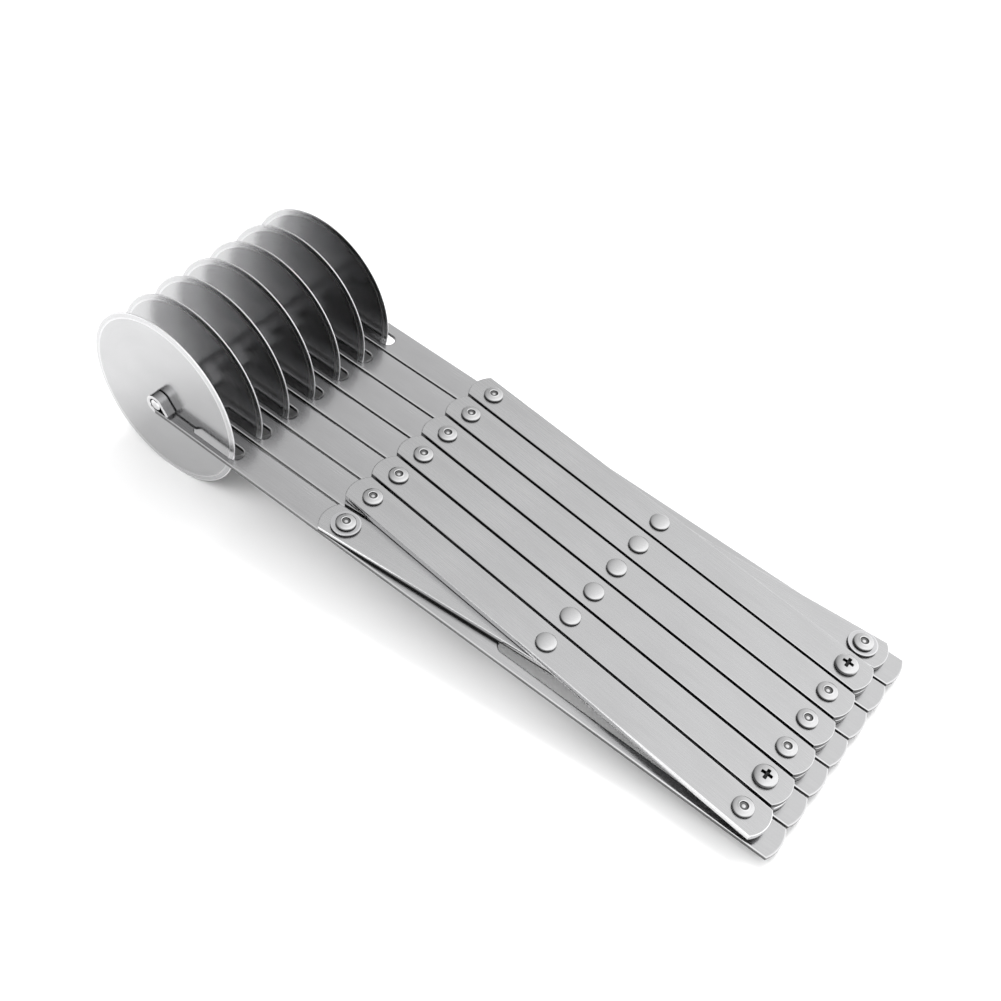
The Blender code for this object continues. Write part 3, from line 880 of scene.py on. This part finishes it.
def add_bars():
    # inner bars get painted shade on their side walls, the outermost bars painted highlights on theirs
    inner = bar_mesh("bar_fine", SHADED_WALL)
    outer_top = bar_mesh("outer_top_bar_fine", HIGHLIT_TOP_WALL)
    outer_bottom = bar_mesh("outer_bottom_bar_fine", HIGHLIT_BOTTOM_WALL)
    for index in range(1, WHEEL_COUNT):
        place(f"top_bar_{index}", outer_top if index == 1 else inner,
              spot(0.0, LANES[index], TOP_BAR_LOW) @ Matrix.Rotation(-BAR_ANGLE, 4, "Z"))
        place(f"bottom_bar_{index}", outer_bottom if index == 1 else inner,
              spot(0.0, LANES[index - 1], BOTTOM_BAR_LOW) @ Matrix.Rotation(BAR_ANGLE, 4, "Z"))


def add_fasteners():
    rivet = rivet_mesh("rivet_fine", "front_rivet_2")
    short_rivet = rivet_mesh("short_rivet_fine", "front_rivet_1")
    middle = middle_rivet_mesh()
    screw = screw_mesh("rear_screw_2")
    nut = nut_mesh()
    washer = ring_mesh("washer_fine", "front_washer_1", WASHER_RADIUS)
    spacer = ring_mesh("spacer_fine", "front_spacer_7", HEAD_RADIUS)
    meshes = {"rivet": rivet, "washer": washer, "spacer": spacer, "screw": screw, "nut": nut}
    for node in nodes:
        kind = node.split("_")[1]
        number = node.split("_")[-1]
        if node.startswith("middle_rivet"):
            place(node, middle, spot(REAR_PIVOT / 2, LANES[int(number)] - PITCH / 2))
        elif node.startswith(("front_", "rear_")):
            u = 0.0 if node.startswith("front_") else REAR_PIVOT
            short = node in ("front_rivet_1", "rear_rivet_7")
            place(node, short_rivet if short else meshes[kind], spot(u, LANES[int(number) - 1]))


# ---------------------------------------------------------------- camera, floor and light

def add_camera():
    data = bpy.data.cameras.new("camera")
    data.sensor_width = 36.0
    data.lens = CAMERA_LENS
    data.shift_x, data.shift_y = CAMERA_SHIFT
    data.clip_start = 0.01
    camera = bpy.data.objects.new("camera", data)
    bpy.context.scene.collection.objects.link(camera)
    place_point = FRAME @ (Vector(CAMERA_PLACE) * MM)
    aim = FRAME @ (Vector(CAMERA_AIM) * MM)
    look = (aim - place_point).to_track_quat("-Z", "Y").to_matrix().to_4x4()
    roll = Matrix.Rotation(CAMERA_ROLL, 4, "Z")
    camera.matrix_world = Matrix.Translation(place_point) @ look @ roll
    bpy.context.scene.camera = camera


def add_floor():
    bm = bmesh.new()
    corners = [bm.verts.new((x * FLOOR_HALF_SIZE, y * FLOOR_HALF_SIZE, 0.0))
               for x, y in ((-1, -1), (1, -1), (1, 1), (-1, 1))]
    bm.faces.new(corners)
    mesh = bpy.data.meshes.new("floor")
    bm.to_mesh(mesh)
    bm.free()
    floor = bpy.data.objects.new("floor", mesh)
    bpy.context.scene.collection.objects.link(floor)
    material = bpy.data.materials.new("pale_floor")
    surface = Shader(material).tree.nodes["Principled BSDF"].inputs
    surface["Base Color"].default_value = (FLOOR_WHITE, FLOOR_WHITE, FLOOR_WHITE, 1.0)
    surface["Roughness"].default_value = FLOOR_ROUGHNESS
    mesh.materials.append(material)


def add_light(name, place_point, aim, side, power):
    """Square soft light that no camera and no steel sees as a shape."""
    data = bpy.data.lights.new(name, "AREA")
    data.shape = "RECTANGLE"
    data.size = data.size_y = side
    data.energy = power
    light = bpy.data.objects.new(name, data)
    bpy.context.scene.collection.objects.link(light)
    light.visible_glossy = False
    light.visible_camera = False
    turn = (Vector(aim) - Vector(place_point)).to_track_quat("-Z", "Y").to_matrix().to_4x4()
    light.matrix_world = Matrix.Translation(place_point) @ turn


def add_world():
    """White studio that gets brighter rearwards and is dim low down on the near side."""
    world = bpy.data.worlds.new("studio")
    bpy.context.scene.world = world
    studio = Shader(world)
    split = studio.add("ShaderNodeSeparateXYZ")
    studio.link(studio.add("ShaderNodeTexCoord").outputs["Generated"], split.inputs[0])
    x, y, z = split.outputs
    walls = studio.remap(x, WORLD_FRONT[0], WORLD_REAR[0], WORLD_FRONT[1], WORLD_REAR[1])
    low = studio.remap(z, *DIM_HEIGHTS, 1.0, 0.0)
    near = studio.remap(y, *DIM_ACROSS, 1.0, 0.0)
    dim = studio.math("MULTIPLY", studio.math("MULTIPLY", low, near), DIM_STRENGTH - 1.0)
    strength = studio.math("MULTIPLY", walls, studio.math("ADD", dim, 1.0))
    background = studio.tree.nodes["Background"].inputs
    background["Color"].default_value = (1.0, 1.0, 1.0, 1.0)
    studio.link(strength, background["Strength"])


def main():
    add_camera()
    add_floor()
    add_world()
    add_light("key", (0.0, 0.75, 0.85), aim=(0.0, 0.0, 0.0), side=0.75, power=13.0)
    add_light("fill", (-0.25, -0.3, 0.32), aim=(-0.1, -0.08, 0.0), side=0.3, power=0.9)
    bpy.context.scene.view_settings.view_transform = "Standard"
    add_arms_and_wheels()
    add_bars()
    add_fasteners()


main()
